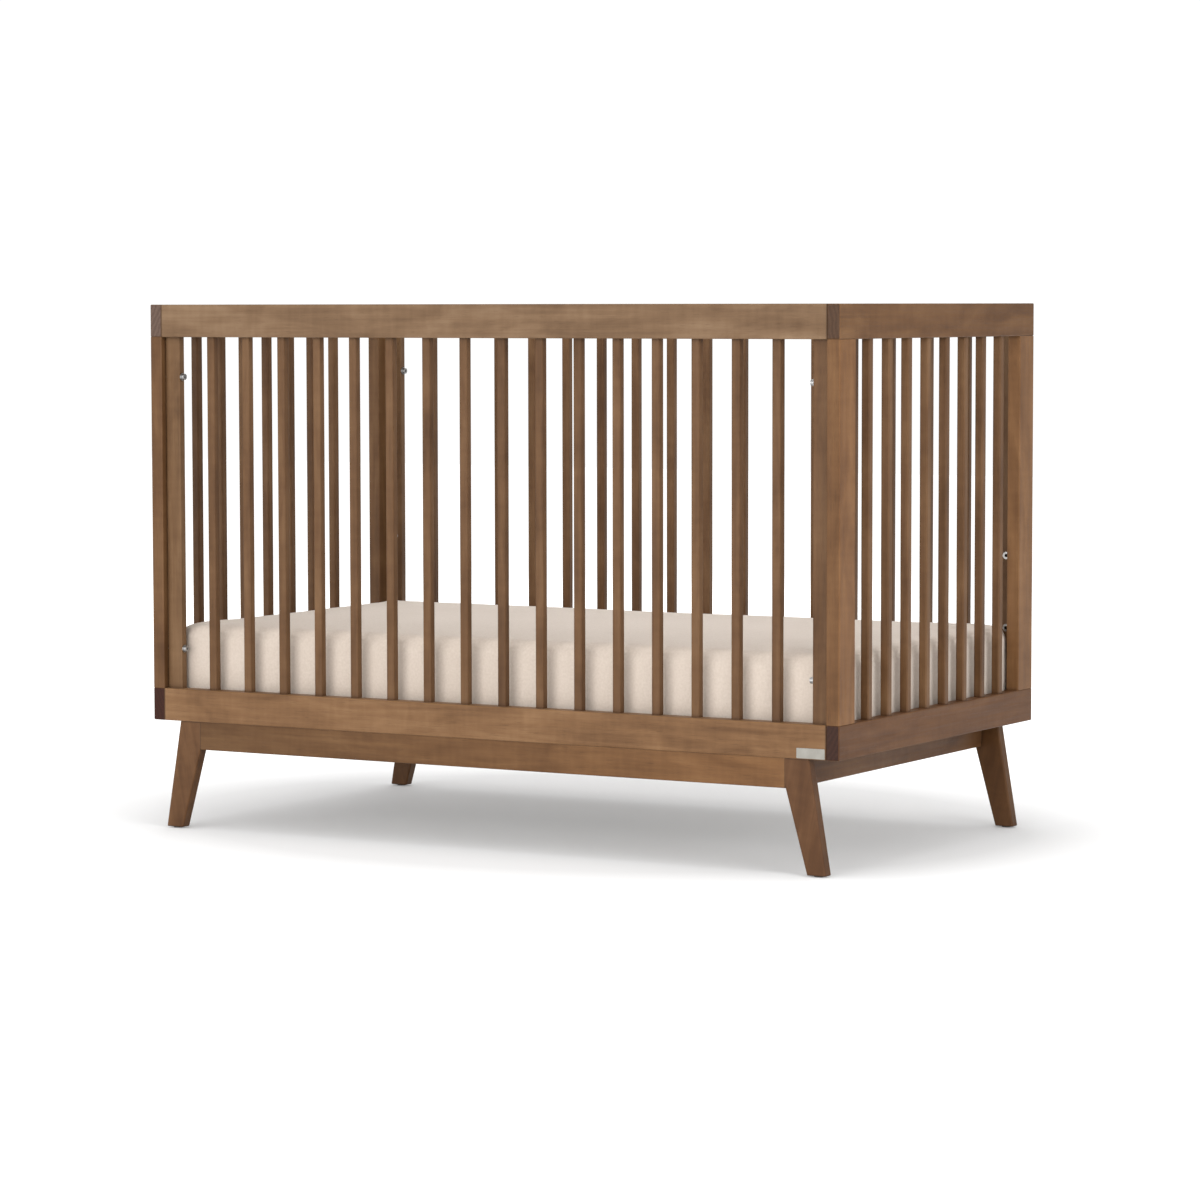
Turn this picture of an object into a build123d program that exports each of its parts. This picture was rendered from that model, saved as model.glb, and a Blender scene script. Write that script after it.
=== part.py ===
"""Full-size baby crib: slatted fixed sides, splayed-leg base, and a mattress on a height-set support.

The origin is on the floor under the middle of the crib. X runs along its length, Y across it
(the front is -Y) and Z up. Sizes are in millimetres.
"""
import os
from math import cos, radians

from build123d import *

# Clear space inside the crib
inner_length = 1334
inner_width = 710

# Panels
rail_height = 58
side_rail_depth = 27
end_rail_depth = 24
panel_opening = 630
side_stile_width = 31
side_stile_depth = 15
end_stile_width = 58
slat_width = 16
slat_depth = 15
slat_edge_radius = 3
side_slat_inner_gap = 1
side_slat_count = 16
end_slat_count = 8
wood_edge_radius = 2

# Round tenons and loose dowels
pin_radius = 4.5
pin_length = 12
pin_spacing = 20
dowel_radius = 4
dowel_length = 36
rail_dowel_spacing = 34
apron_dowel_spacing = 22
dowel_inset = 7
glue_gap = 0.1

# Base
floor_to_rail = 194
base_setback = 2
base_depth = 22
apron_height = 50
leg_inset = 57
leg_top_width = 43
leg_foot_width = 35
leg_splay = 32
leg_edge_radius = 3
foot_edge_radius = 1.5
end_apron_depth = 18
end_apron_lap = 13
glide_radius = 8
glide_height = 2
glide_stem_radius = 2
glide_stem_length = 12

# Socket bolts, washers and threaded inserts
bolt_radius = 3
bolt_head_radius = 5.5
bolt_head_height = 5
button_head_height = 3.3
socket_radius = 2.6
socket_depth = 2.2
bolt_hole_gap = 0.3
thread_gap = 0.05
thread_reach = 9.5
washer_radius = 6.5
washer_thickness = 1.5
insert_radius = 4.5
insert_length = 11
insert_flange_radius = 6.5
insert_flange_thickness = 1.5
panel_bolt_from_rail = 71
height_row_above_mid = 8
height_row_pitch = 129.5
height_row_count = 3
base_bolt_spacing = 400
base_bolt_count = 3
base_bolt_reach = 38
base_bolt_recess = 8

# Steel corner brackets in the base, and their screws
bracket_arm = 42
bracket_height = 30
bracket_thickness = 2.5
bracket_screw_first = 15
bracket_screw_second = 31
screw_radius = 2
screw_length = 15
screw_head_radius = 4
screw_head_height = 2.4

# Mattress support, and the small gap at what only rests on its seat
seat_gap = 0.3
deck_drop = 11
support_end_gap = 4
angle_flange = 25
angle_drop = 20
angle_gauge = 2
strip_width = 30
strip_thickness = 2
strip_count = 9
spine_width = 30
spine_thickness = 3
hanger_gap = 0.5
hanger_thickness = 2.5
hanger_overhang = 10
hanger_head = 13
hanger_foot = 2
notch_gap = 3
weld_gap = 0.2
rivet_radius = 2.5
rivet_head_radius = 4.5
rivet_head_height = 1.6
rivet_first = 24
rivet_second = 40
rivet_edge = 8

# Mattress
mattress_end_gap = 2
mattress_side_gap = 7
mattress_thickness = 152
mattress_corner_radius = 14
mattress_bottom_round = 11
mattress_top_round = 18
mattress_crown = 5
mattress_draw_in = 3
crown_ring_share = 0.4
crown_flat_share = 0.8
corner_limit = 0.9

# Bare plate on the front bottom rail
plate_width = 52
plate_height = 17
plate_thickness = 0.8
plate_proud = 0.4
plate_end_gap = 2
plate_low_gap = 1.5
plate_corner_radius = 1

# Levels and faces worked out from the sizes above
half_inner_x = inner_length / 2
half_inner_y = inner_width / 2
half_x = half_inner_x + end_rail_depth
half_y = half_inner_y + side_rail_depth
bottom_rail_z = floor_to_rail
bottom_rail_top = bottom_rail_z + rail_height
top_rail_z = bottom_rail_top + panel_opening

side_rail_y = half_inner_y + side_rail_depth / 2
side_slat_y = half_inner_y + side_slat_inner_gap + slat_depth / 2
side_stile_x = half_inner_x - side_stile_width / 2
side_stile_y = half_inner_y + side_stile_depth / 2
end_rail_x = half_inner_x + end_rail_depth / 2
end_stile_y = half_y - end_stile_width / 2
dowel_y = half_y - dowel_inset

base_outer_y = half_y - base_setback
base_inner_y = base_outer_y - base_depth
base_mid_y = base_outer_y - base_depth / 2
apron_z = floor_to_rail - apron_height
apron_mid_z = floor_to_rail - apron_height / 2
leg_top_x = half_x - leg_inset
leg_joint_x = leg_top_x - leg_top_width
foot_outer_x = leg_top_x + leg_splay
foot_inner_x = foot_outer_x - leg_foot_width
end_apron_outer_x = leg_joint_x + end_apron_lap
end_apron_inner_x = end_apron_outer_x - end_apron_depth

screw_hole_depth = screw_length - bracket_thickness + glue_gap

panel_bolt_zs = [bottom_rail_top + panel_bolt_from_rail, top_rail_z - panel_bolt_from_rail]
bottom_rail_mid = bottom_rail_z + rail_height / 2
height_row_zs = [
    bottom_rail_mid + height_row_above_mid + row * height_row_pitch for row in range(height_row_count)
]

deck_z = height_row_zs[0] - deck_drop
angle_top = deck_z - strip_thickness
angle_outer_y = half_inner_y - hanger_gap - hanger_thickness
angle_outer_x = half_inner_x - support_end_gap
support_head_y = angle_outer_y - seat_gap
hanger_lap = rivet_second + rivet_edge

plate_x = half_inner_x - plate_end_gap - plate_width / 2
plate_z = bottom_rail_z + plate_low_gap + plate_height / 2

ENDS = (("left", -1), ("right", 1))
SIDES = (("front", -1), ("back", 1))
UP = (0, 0, 1)
DOWN = (0, 0, -1)


def save(builder, node):
    """Label a finished piece and write its file."""
    builder.part.label = node
    export_step(builder.part, f"parts/{node}.step")


def spread(count, width, clear_length):
    """Centres, about zero, of a row of pieces with equal gaps in a clear length."""
    pitch = width + (clear_length - count * width) / (count + 1)
    return [(i - (count - 1) / 2) * pitch for i in range(count)]


def rods(points, direction, radius, length, mode=Mode.ADD):
    """Round rods from each point along a direction, added to or cut from the open part."""
    with Locations(*[Plane(origin=point, z_dir=direction) for point in points]):
        Cylinder(radius, length, align=(Align.CENTER, Align.CENTER, Align.MIN), mode=mode)


def drill(points, direction, radius, depth):
    """Round holes cut into the open part."""
    rods(points, direction, radius, depth, Mode.SUBTRACT)


def socket_bolts(points, direction, length, head_height):
    """Bolts with hex-socket heads; each point is under a head and the direction is along the shank."""
    back = tuple(-d for d in direction)
    rods(points, direction, bolt_radius, length)
    rods(points, back, bolt_head_radius, head_height)
    tops = [tuple(p + head_height * b for p, b in zip(point, back)) for point in points]
    with BuildSketch(*[Plane(origin=top, z_dir=direction) for top in tops]) as sockets:
        RegularPolygon(socket_radius, 6)
    extrude(sockets.sketch, amount=socket_depth, mode=Mode.SUBTRACT)


def threaded_inserts(points, direction):
    """Flanged inserts, flush with the wood at each point, with an open bore."""
    rods(points, direction, insert_radius, insert_length)
    rods(points, direction, insert_flange_radius, insert_flange_thickness)
    drill(points, direction, bolt_radius + thread_gap, insert_length)


def insert_pockets(points, direction):
    """Stepped holes for the inserts."""
    drill(points, direction, insert_radius + glue_gap, insert_length + glue_gap)
    drill(points, direction, insert_flange_radius + glue_gap, insert_flange_thickness)
    drill(points, direction, bolt_radius + bolt_hole_gap, thread_reach + glue_gap)


# Places that two or more pieces share
side_slat_xs = spread(side_slat_count, slat_width, inner_length - 2 * side_stile_width)
end_slat_ys = spread(end_slat_count, slat_width, 2 * (half_y - end_stile_width))
base_bolt_xs = [(i - (base_bolt_count - 1) / 2) * base_bolt_spacing for i in range(base_bolt_count)]
rail_mid_zs = {"bottom": bottom_rail_mid, "top": top_rail_z + rail_height / 2}
end_stile_pin_ys = [end_stile_y - pin_spacing / 2, end_stile_y + pin_spacing / 2]


def rail_dowel_points(e, s, level):
    """Middles of the dowels between a long rail and an end rail."""
    mid = rail_mid_zs[level]
    return [(e * half_inner_x, s * dowel_y, mid + half * rail_dowel_spacing) for half in (-0.5, 0.5)]


def panel_bolt_points(e, s, x):
    """Places of the panel bolts of one corner, at a given distance from the middle."""
    return [(e * x, s * side_stile_y, z) for z in panel_bolt_zs]


def height_points(s, y, zs):
    """Places of the mattress-height holes of one side."""
    return [(e * side_stile_x, s * y, z) for _, e in ENDS for z in zs]


def apron_dowel_points(e, s):
    """Middles of the dowels between a long apron and a leg."""
    return [
        (e * leg_joint_x, s * base_mid_y, apron_mid_z + half * apron_dowel_spacing)
        for half in (-0.5, 0.5)
    ]


def screw_places(e, s):
    """Wood-face points and directions of one corner bracket's screws."""
    for reach in (bracket_screw_first, bracket_screw_second):
        yield (e * (end_apron_inner_x - reach), s * base_inner_y, apron_mid_z), (0, s, 0)
        yield (e * end_apron_inner_x, s * (base_inner_y - reach), apron_mid_z), (e, 0, 0)


def rivet_points(e, s, y):
    """Places of the rivets of one hanger, at a given distance from the middle."""
    z = angle_top - angle_drop / 2
    return [(e * (side_stile_x - reach), s * y, z) for reach in (rivet_first, rivet_second)]


os.makedirs("parts", exist_ok=True)

# Long rails, between the end panels
for side, s in SIDES:
    for level, low, opening_z, into in (
        ("bottom", bottom_rail_z, bottom_rail_top, DOWN),
        ("top", top_rail_z, top_rail_z, UP),
    ):
        with BuildPart() as side_rail:
            with BuildSketch(Plane.XY.offset(low)):
                with Locations((0, s * side_rail_y)):
                    Rectangle(inner_length, side_rail_depth)
            extrude(amount=rail_height)
            fillet(side_rail.edges().filter_by(Axis.X), wood_edge_radius)
            pins = [(x, s * side_slat_y, opening_z) for x in side_slat_xs]
            pins += [(e * side_stile_x, s * side_stile_y, opening_z) for _, e in ENDS]
            drill(pins, into, pin_radius + glue_gap, pin_length + glue_gap)
            for _, e in ENDS:
                dowels = rail_dowel_points(e, s, level)
                drill(dowels, (-e, 0, 0), dowel_radius + glue_gap, dowel_length / 2 + glue_gap)
            if level == "bottom":
                insert_pockets(height_points(s, half_inner_y, height_row_zs[:1]), (0, s, 0))
                bolts = [(x, s * base_mid_y, bottom_rail_z) for x in base_bolt_xs]
                drill(bolts, UP, bolt_radius + thread_gap, base_bolt_reach + glue_gap)
            if level == "bottom" and side == "front":
                with BuildSketch(Plane.XZ.offset(half_y)):
                    with Locations((plate_x, plate_z)):
                        RectangleRounded(
                            plate_width + 2 * glue_gap,
                            plate_height + 2 * glue_gap,
                            plate_corner_radius + glue_gap,
                        )
                extrude(amount=-(plate_thickness - plate_proud), mode=Mode.SUBTRACT)
        save(side_rail, f"{side}_{level}_rail")

# End rails, through to the front and back
for end, e in ENDS:
    for level, low, opening_z, into in (
        ("bottom", bottom_rail_z, bottom_rail_top, DOWN),
        ("top", top_rail_z, top_rail_z, UP),
    ):
        with BuildPart() as end_rail:
            with BuildSketch(Plane.XY.offset(low)):
                with Locations((e * end_rail_x, 0)):
                    Rectangle(end_rail_depth, 2 * half_y)
            extrude(amount=rail_height)
            fillet(end_rail.edges(), wood_edge_radius)
            pins = [(e * end_rail_x, y, opening_z) for y in end_slat_ys]
            pins += [(e * end_rail_x, s * y, opening_z) for _, s in SIDES for y in end_stile_pin_ys]
            drill(pins, into, pin_radius + glue_gap, pin_length + glue_gap)
            for _, s in SIDES:
                dowels = rail_dowel_points(e, s, level)
                drill(dowels, (e, 0, 0), dowel_radius + glue_gap, dowel_length / 2 + glue_gap)
        save(end_rail, f"{end}_{level}_rail")

# Stiles of the long panels, flush with the inside of their rails
for side, s in SIDES:
    for end, e in ENDS:
        with BuildPart() as side_stile:
            with BuildSketch(Plane.XY.offset(bottom_rail_top)):
                with Locations((e * side_stile_x, s * side_stile_y)):
                    Rectangle(side_stile_width, side_stile_depth)
            extrude(amount=panel_opening)
            fillet(side_stile.edges().filter_by(Axis.Z), wood_edge_radius)
            tenon_foot = [(e * side_stile_x, s * side_stile_y, bottom_rail_top - pin_length)]
            rods(tenon_foot, UP, pin_radius, panel_opening + 2 * pin_length)
            drill(
                panel_bolt_points(e, s, half_inner_x),
                (-e, 0, 0),
                bolt_radius + bolt_hole_gap,
                side_stile_width,
            )
            rows = [(e * side_stile_x, s * half_inner_y, z) for z in height_row_zs[1:]]
            insert_pockets(rows, (0, s, 0))
        save(side_stile, f"{side}_{end}_stile")

# Stiles of the end panels
for end, e in ENDS:
    for side, s in SIDES:
        with BuildPart() as end_stile:
            with BuildSketch(Plane.XY.offset(bottom_rail_top)):
                with Locations((e * end_rail_x, s * end_stile_y)):
                    Rectangle(end_rail_depth, end_stile_width)
            extrude(amount=panel_opening)
            fillet(end_stile.edges().filter_by(Axis.Z), wood_edge_radius)
            tenon_feet = [(e * end_rail_x, s * y, bottom_rail_top - pin_length) for y in end_stile_pin_ys]
            rods(tenon_feet, UP, pin_radius, panel_opening + 2 * pin_length)
            insert_pockets(panel_bolt_points(e, s, half_inner_x), (e, 0, 0))
        save(end_stile, f"{end}_{side}_stile")

# Slats of each panel, with their round tenons
slat_rows = {
    "front_slats": [(x, -side_slat_y, 0) for x in side_slat_xs],
    "back_slats": [(x, side_slat_y, 0) for x in side_slat_xs],
    "left_slats": [(-end_rail_x, y, 90) for y in end_slat_ys],
    "right_slats": [(end_rail_x, y, 90) for y in end_slat_ys],
}
for node, places in slat_rows.items():
    with BuildPart() as slats:
        with BuildSketch(Plane.XY.offset(bottom_rail_top)):
            for x, y, turn in places:
                with Locations((x, y)):
                    RectangleRounded(slat_width, slat_depth, slat_edge_radius, rotation=turn)
        extrude(amount=panel_opening)
        tenon_feet = [(x, y, bottom_rail_top - pin_length) for x, y, _ in places]
        rods(tenon_feet, UP, pin_radius, panel_opening + 2 * pin_length)
    save(slats, node)

# Legs: upright against the apron, tapered and splayed below it
for side, s in SIDES:
    for end, e in ENDS:
        with BuildPart() as leg:
            with BuildSketch(Plane.XZ.offset(-s * base_inner_y)):
                with BuildLine():
                    Polyline(
                        (e * leg_joint_x, floor_to_rail),
                        (e * leg_top_x, floor_to_rail),
                        (e * foot_outer_x, glide_height),
                        (e * foot_inner_x, glide_height),
                        (e * leg_joint_x, apron_z),
                        close=True,
                    )
                make_face()
            extrude(amount=-s * base_depth)
            slanted = leg.edges()
            for axis in (Axis.X, Axis.Y, Axis.Z):
                slanted = slanted.filter_by(axis, reverse=True)
            fillet(slanted, leg_edge_radius)
            fillet(leg.faces().sort_by(Axis.Z)[0].edges(), foot_edge_radius)
            drill(
                apron_dowel_points(e, s),
                (e, 0, 0),
                dowel_radius + glue_gap,
                dowel_length / 2 + glue_gap,
            )
            stem = [(e * (foot_outer_x + foot_inner_x) / 2, s * base_mid_y, glide_height)]
            drill(stem, UP, glide_stem_radius + glue_gap, glide_stem_length + glue_gap)
        save(leg, f"{side}_{end}_leg")

# Long aprons, between the legs
for side, s in SIDES:
    with BuildPart() as long_apron:
        with BuildSketch(Plane.XY.offset(apron_z)):
            with Locations((0, s * base_mid_y)):
                Rectangle(2 * leg_joint_x, base_depth)
        extrude(amount=apron_height)
        fillet(long_apron.edges().filter_by(Axis.X).group_by(Axis.Z)[0], wood_edge_radius)
        for _, e in ENDS:
            drill(
                apron_dowel_points(e, s),
                (-e, 0, 0),
                dowel_radius + glue_gap,
                dowel_length / 2 + glue_gap,
            )
            for point, direction in screw_places(e, s):
                if direction[1]:
                    drill([point], direction, screw_radius + glue_gap, screw_hole_depth)
        bolts = [(x, s * base_mid_y, apron_z) for x in base_bolt_xs]
        drill(bolts, UP, bolt_radius + bolt_hole_gap, apron_height)
        drill(bolts, UP, bolt_head_radius + bolt_hole_gap, base_bolt_recess)
    save(long_apron, f"{side}_apron")

# End aprons, between the front and back legs
for end, e in ENDS:
    with BuildPart() as end_apron:
        with BuildSketch(Plane.XY.offset(apron_z)):
            with Locations((e * (end_apron_outer_x + end_apron_inner_x) / 2, 0)):
                Rectangle(end_apron_depth, 2 * base_inner_y)
        extrude(amount=apron_height)
        fillet(end_apron.edges().filter_by(Axis.Y).group_by(Axis.Z)[0], wood_edge_radius)
        for _, s in SIDES:
            for point, direction in screw_places(e, s):
                if direction[0]:
                    drill([point], direction, screw_radius + glue_gap, screw_hole_depth)
    save(end_apron, f"{end}_apron")

# Steel corner brackets inside the base
with BuildPart() as brackets:
    for _, e in ENDS:
        for _, s in SIDES:
            with BuildSketch(Plane.XY.offset(apron_mid_z - bracket_height / 2)):
                with BuildLine():
                    Polyline(
                        (e * end_apron_inner_x, s * base_inner_y),
                        (e * (end_apron_inner_x - bracket_arm), s * base_inner_y),
                        (e * (end_apron_inner_x - bracket_arm), s * (base_inner_y - bracket_thickness)),
                        (
                            e * (end_apron_inner_x - bracket_thickness),
                            s * (base_inner_y - bracket_thickness),
                        ),
                        (e * (end_apron_inner_x - bracket_thickness), s * (base_inner_y - bracket_arm)),
                        (e * end_apron_inner_x, s * (base_inner_y - bracket_arm)),
                        close=True,
                    )
                make_face()
            extrude(amount=bracket_height)
            for point, direction in screw_places(e, s):
                back = tuple(-d for d in direction)
                drill([point], back, screw_radius + bolt_hole_gap, bracket_thickness)
save(brackets, "base_brackets")

with BuildPart() as bracket_screws:
    for _, e in ENDS:
        for _, s in SIDES:
            for point, direction in screw_places(e, s):
                under_head = tuple(p - bracket_thickness * d for p, d in zip(point, direction))
                back = tuple(-d for d in direction)
                rods([under_head], direction, screw_radius, screw_length)
                rods([under_head], back, screw_head_radius, screw_head_height)
save(bracket_screws, "bracket_screws")

# Foot glides
with BuildPart() as glides:
    feet = [
        (e * (foot_outer_x + foot_inner_x) / 2, s * base_mid_y, 0) for _, e in ENDS for _, s in SIDES
    ]
    rods(feet, UP, glide_radius, glide_height)
    rods(feet, UP, glide_stem_radius, glide_height + glide_stem_length)
save(glides, "foot_glides")

# Dowels
with BuildPart() as rail_dowels:
    for _, e in ENDS:
        for _, s in SIDES:
            for level in rail_mid_zs:
                starts = [
                    (x - e * dowel_length / 2, y, z) for x, y, z in rail_dowel_points(e, s, level)
                ]
                rods(starts, (e, 0, 0), dowel_radius, dowel_length)
save(rail_dowels, "rail_dowels")

with BuildPart() as apron_dowels:
    for _, e in ENDS:
        for _, s in SIDES:
            starts = [(x - e * dowel_length / 2, y, z) for x, y, z in apron_dowel_points(e, s)]
            rods(starts, (e, 0, 0), dowel_radius, dowel_length)
save(apron_dowels, "apron_dowels")

# Panel bolts with their washers and inserts
stile_face_x = half_inner_x - side_stile_width
with BuildPart() as panel_bolts:
    for _, e in ENDS:
        for _, s in SIDES:
            under_heads = panel_bolt_points(e, s, stile_face_x - washer_thickness)
            length = washer_thickness + side_stile_width + thread_reach
            socket_bolts(under_heads, (e, 0, 0), length, bolt_head_height)
save(panel_bolts, "panel_bolts")

with BuildPart() as panel_washers:
    for _, e in ENDS:
        for _, s in SIDES:
            faces = panel_bolt_points(e, s, stile_face_x)
            rods(faces, (-e, 0, 0), washer_radius, washer_thickness)
            drill(faces, (-e, 0, 0), bolt_radius + bolt_hole_gap, washer_thickness)
save(panel_washers, "panel_washers")

with BuildPart() as panel_inserts:
    for _, e in ENDS:
        for _, s in SIDES:
            threaded_inserts(panel_bolt_points(e, s, half_inner_x), (e, 0, 0))
save(panel_inserts, "panel_inserts")

# Inserts for the mattress heights, and the support bolts in the lowest row
with BuildPart() as height_inserts:
    for _, s in SIDES:
        threaded_inserts(height_points(s, half_inner_y, height_row_zs), (0, s, 0))
save(height_inserts, "height_inserts")

with BuildPart() as support_bolts:
    for _, s in SIDES:
        under_heads = height_points(s, support_head_y, height_row_zs[:1])
        length = half_inner_y - support_head_y + thread_reach
        socket_bolts(under_heads, (0, s, 0), length, button_head_height)
save(support_bolts, "support_bolts")

# Bolts that hold the base to the long bottom rails
with BuildPart() as base_bolts:
    under_heads = [
        (x, s * base_mid_y, apron_z + base_bolt_recess) for _, s in SIDES for x in base_bolt_xs
    ]
    length = apron_height - base_bolt_recess + base_bolt_reach
    socket_bolts(under_heads, UP, length, bolt_head_height)
save(base_bolts, "base_bolts")

# Bare plate let into the front bottom rail
with BuildPart() as plate:
    with BuildSketch(Plane.XZ.offset(half_y + plate_proud)):
        with Locations((plate_x, plate_z)):
            RectangleRounded(plate_width, plate_height, plate_corner_radius)
    extrude(amount=-plate_thickness)
save(plate, "blank_plate")

# Support side angles, notched round the bolt heads
notch_inner_y = support_head_y - button_head_height - notch_gap
notch_width = 2 * (bolt_head_radius + notch_gap)
for side, s in SIDES:
    with BuildPart() as side_angle:
        with BuildSketch(Plane.YZ.offset(-angle_outer_x)):
            with BuildLine():
                Polyline(
                    (s * angle_outer_y, angle_top),
                    (s * (angle_outer_y - angle_flange), angle_top),
                    (s * (angle_outer_y - angle_flange), angle_top - angle_gauge),
                    (s * (angle_outer_y - angle_gauge), angle_top - angle_gauge),
                    (s * (angle_outer_y - angle_gauge), angle_top - angle_drop),
                    (s * angle_outer_y, angle_top - angle_drop),
                    close=True,
                )
            make_face()
        extrude(amount=2 * angle_outer_x)
        with BuildSketch(Plane.XY.offset(angle_top)):
            for _, e in ENDS:
                with Locations((e * side_stile_x, s * (notch_inner_y + angle_outer_y) / 2)):
                    Rectangle(notch_width, angle_outer_y - notch_inner_y)
        extrude(amount=-angle_drop, mode=Mode.SUBTRACT)
        for _, e in ENDS:
            drill(rivet_points(e, s, angle_outer_y), (0, -s, 0), rivet_radius + glue_gap, angle_gauge)
    save(side_angle, f"support_{side}_angle")

# Support end angles, between the side angles' flanges
for end, e in ENDS:
    with BuildPart() as end_angle:
        half_end_angle = angle_outer_y - angle_flange - weld_gap
        with BuildSketch(Plane.XZ.offset(-half_end_angle)):
            with BuildLine():
                Polyline(
                    (e * angle_outer_x, angle_top),
                    (e * (angle_outer_x - angle_flange), angle_top),
                    (e * (angle_outer_x - angle_flange), angle_top - angle_gauge),
                    (e * (angle_outer_x - angle_gauge), angle_top - angle_gauge),
                    (e * (angle_outer_x - angle_gauge), angle_top - angle_drop),
                    (e * angle_outer_x, angle_top - angle_drop),
                    close=True,
                )
            make_face()
        extrude(amount=2 * half_end_angle)
    save(end_angle, f"support_{end}_angle")

# Cross strips on the angles, and the spine under them
clear_deck = 2 * (angle_outer_x - angle_flange)
with BuildPart() as strips:
    with BuildSketch(Plane.XY.offset(angle_top)):
        for x in spread(strip_count, strip_width, clear_deck):
            with Locations((x, 0)):
                Rectangle(strip_width, 2 * (angle_outer_y - angle_gauge))
    extrude(amount=strip_thickness)
save(strips, "support_strips")

with BuildPart() as spine:
    with BuildSketch(Plane.XY.offset(angle_top)):
        Rectangle(clear_deck - 2 * weld_gap, spine_width)
    extrude(amount=-spine_thickness)
save(spine, "support_spine")

# Corner hangers, with slots that drop over the support bolts
hanger_low = angle_top - angle_drop + hanger_foot
hanger_high = height_row_zs[0] + hanger_head
for side, s in SIDES:
    for end, e in ENDS:
        with BuildPart() as hanger:
            with BuildSketch(Plane.XZ.offset(-s * angle_outer_y)):
                with Locations((e * (side_stile_x + (hanger_overhang - hanger_lap) / 2), hanger_low)):
                    Rectangle(
                        hanger_lap + hanger_overhang,
                        hanger_high - hanger_low,
                        align=(Align.CENTER, Align.MIN),
                    )
                with Locations((e * side_stile_x, height_row_zs[0])):
                    Circle(bolt_radius + seat_gap, mode=Mode.SUBTRACT)
                    Rectangle(
                        2 * (bolt_radius + seat_gap),
                        height_row_zs[0] - hanger_low,
                        align=(Align.CENTER, Align.MAX),
                        mode=Mode.SUBTRACT,
                    )
            extrude(amount=-s * hanger_thickness)
            drill(rivet_points(e, s, angle_outer_y), (0, s, 0), rivet_radius + glue_gap, hanger_thickness)
        save(hanger, f"support_hanger_{side}_{end}")

with BuildPart() as rivets:
    for _, s in SIDES:
        for _, e in ENDS:
            inner = rivet_points(e, s, angle_outer_y - angle_gauge)
            rods(inner, (0, s, 0), rivet_radius, angle_gauge + hanger_thickness)
            rods(inner, (0, -s, 0), rivet_head_radius, rivet_head_height)
save(rivets, "support_rivets")

# Mattress: crowned top, rounded edges and sides drawn in between the corners
mattress_half_x = half_inner_x - mattress_end_gap
mattress_half_y = half_inner_y - mattress_side_gap
mattress_z = deck_z + seat_gap
shoulder = mattress_thickness - mattress_crown
half_turn = cos(radians(45))
low_step = mattress_bottom_round * (1 - half_turn)
high_step = mattress_top_round * (1 - half_turn)
mattress_levels = [
    (0, mattress_bottom_round),
    (low_step, low_step),
    (mattress_bottom_round, 0),
    (shoulder - mattress_top_round, 0),
    (shoulder - high_step, high_step),
    (shoulder, mattress_top_round),
    (mattress_thickness - mattress_crown / 4, mattress_half_y * crown_ring_share),
    (mattress_thickness, mattress_half_y * crown_flat_share),
]
with BuildPart() as mattress:
    for height, inset in mattress_levels:
        a = mattress_half_x - inset
        b = mattress_half_y - inset
        corner = min(mattress_corner_radius, b * corner_limit)
        x_run = a - corner
        y_run = b - corner
        bulge = corner * half_turn
        with BuildSketch(Plane.XY.offset(mattress_z + height)):
            with BuildLine():
                for turn in (1, -1):
                    ThreePointArc(
                        (-turn * x_run, turn * b),
                        (0, turn * (b - mattress_draw_in)),
                        (turn * x_run, turn * b),
                    )
                    ThreePointArc(
                        (turn * x_run, turn * b),
                        (turn * (x_run + bulge), turn * (y_run + bulge)),
                        (turn * a, turn * y_run),
                    )
                    ThreePointArc(
                        (turn * a, turn * y_run),
                        (turn * (a - mattress_draw_in), 0),
                        (turn * a, -turn * y_run),
                    )
                    ThreePointArc(
                        (turn * a, -turn * y_run),
                        (turn * (x_run + bulge), -turn * (y_run + bulge)),
                        (turn * x_run, -turn * b),
                    )
            make_face()
    loft(ruled=True)
save(mattress, "mattress")
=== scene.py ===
import math
import random

import bmesh
import bpy
from mathutils import Matrix, Vector, noise


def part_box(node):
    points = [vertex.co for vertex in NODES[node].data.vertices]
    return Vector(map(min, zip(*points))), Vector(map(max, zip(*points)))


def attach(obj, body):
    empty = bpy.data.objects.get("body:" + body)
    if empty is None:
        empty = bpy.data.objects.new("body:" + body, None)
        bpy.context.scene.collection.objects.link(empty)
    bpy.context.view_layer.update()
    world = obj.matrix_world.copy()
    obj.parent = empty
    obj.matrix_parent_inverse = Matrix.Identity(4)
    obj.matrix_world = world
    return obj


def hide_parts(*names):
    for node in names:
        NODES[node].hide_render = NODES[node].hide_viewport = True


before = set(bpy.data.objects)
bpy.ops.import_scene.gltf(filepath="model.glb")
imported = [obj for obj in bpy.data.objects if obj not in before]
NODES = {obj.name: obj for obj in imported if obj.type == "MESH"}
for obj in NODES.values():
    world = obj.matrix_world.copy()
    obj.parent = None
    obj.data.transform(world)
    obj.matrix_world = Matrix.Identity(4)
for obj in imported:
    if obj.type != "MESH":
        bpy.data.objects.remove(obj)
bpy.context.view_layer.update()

AXES = "XYZ"


# Pieces
def new_piece(name, mesh):
    piece = bpy.data.objects.new(name, mesh)
    bpy.context.scene.collection.objects.link(piece)
    return piece


def use(piece, material):
    piece.data.materials.clear()
    piece.data.materials.append(material)


def smooth(piece):
    piece.data.polygons.foreach_set("use_smooth", [True] * len(piece.data.polygons))


def baked(piece):
    """The piece's mesh with its modifiers worked in."""
    bpy.context.view_layer.update()
    graph = bpy.context.evaluated_depsgraph_get()
    return bpy.data.meshes.new_from_object(piece.evaluated_get(graph))


def with_normals(mesh):
    """The mesh's vertices, each with its normal as it was before any of them moved."""
    return zip(mesh.vertices, [vertex.normal.copy() for vertex in mesh.vertices])


# Shader building
FACING_RANGE = (0.80, 0.95)
# Occlusion at which the painted shade in corners begins and is full
CREVICE_RANGE = (0.92, 0.45)
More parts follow.
